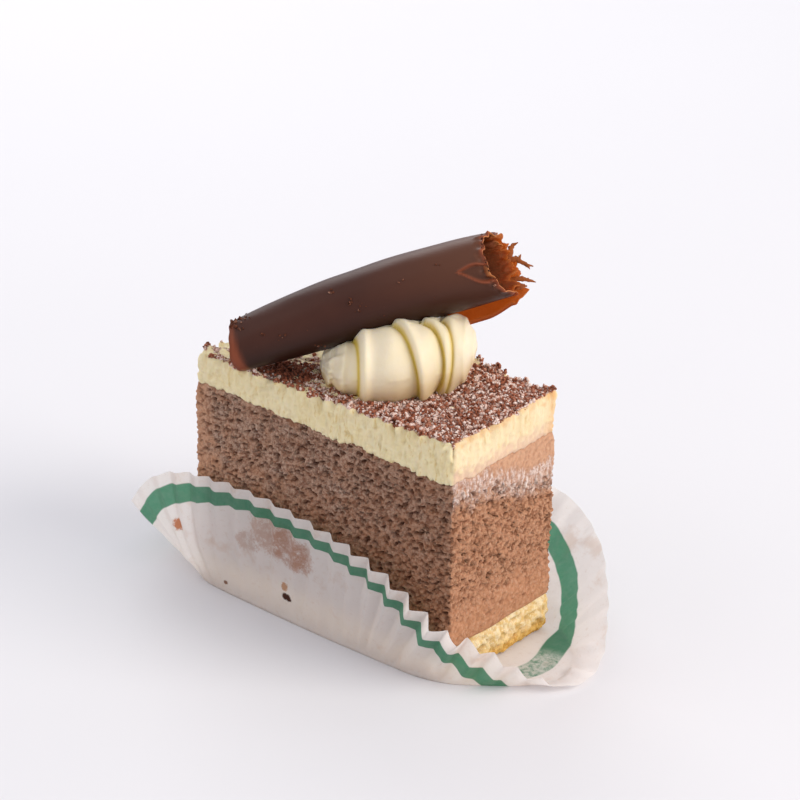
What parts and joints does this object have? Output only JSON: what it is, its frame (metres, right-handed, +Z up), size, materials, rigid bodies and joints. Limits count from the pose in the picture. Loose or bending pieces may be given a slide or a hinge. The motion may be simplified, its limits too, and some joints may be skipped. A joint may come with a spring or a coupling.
{
  "type": "chocolate cheesecake slice",
  "caption": "Rectangular slice of chocolate cheesecake with biscuit base, cream layer, piped cream and a chocolate roll, standing in a pleated paper case.",
  "frame": {"origin": "on the table under the middle of the slice, on the flat underside of the paper case", "axes": "+X along the slice, towards the short cut end that the picture shows; +Z up from the biscuit to the chocolate roll; +Y across, towards the hidden long side"},
  "size_m": [0.1407, 0.0804, 0.1127],
  "materials": {
    "baking_paper": "thin white greaseproof paper, a little glossy from grease",
    "biscuit": "crumbly, matt",
    "chocolate_mousse": "matt, finely porous",
    "cream_cheese": "soft, matt",
    "whipped_cream": "smooth, satin",
    "dark_chocolate": "satin"
  },
  "bodies": {
    "root": {"paper_case": "baking_paper", "biscuit_base": "biscuit", "chocolate_mousse": "chocolate_mousse", "cream_layer": "cream_cheese", "piped_cream": "whipped_cream", "chocolate_roll": "dark_chocolate"}
  },
  "joints": []
}
